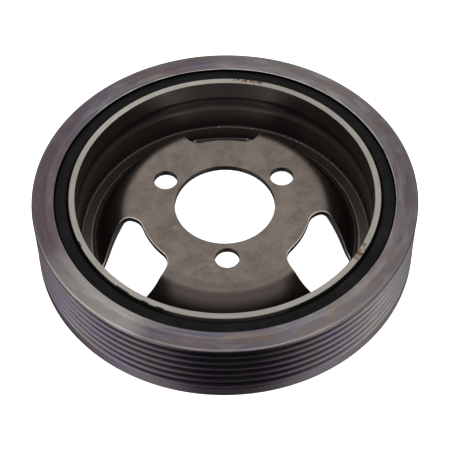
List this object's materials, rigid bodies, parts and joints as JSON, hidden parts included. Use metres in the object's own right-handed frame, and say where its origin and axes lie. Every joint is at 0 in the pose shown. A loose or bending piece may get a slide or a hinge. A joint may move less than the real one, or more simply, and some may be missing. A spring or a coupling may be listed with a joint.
{
  "type": "crankshaft pulley",
  "caption": "Grooved belt ring sprung on rubber round a deep pressed steel cup, whose raised plate has a round bore, bolt holes and windows.",
  "frame": {"origin": "centre of the bore on the rear face of the hub plate, which seats on the end of the crankshaft", "axes": "+Z along the axis, out of the open side of the cup; -Y through one of the bolt holes"},
  "size_m": [0.1386, 0.1386, 0.0272],
  "materials": {
    "hub_steel": "thin dark coating over pressed steel, bare bright metal on the faced rim",
    "rubber": "matt black moulded rubber",
    "ring_steel": "turned steel under a thin grey coating with a purple and brown cast"
  },
  "bodies": {
    "root": {"hub": "hub_steel", "rubber_ring": "rubber", "belt_ring": "ring_steel"}
  },
  "joints": []
}
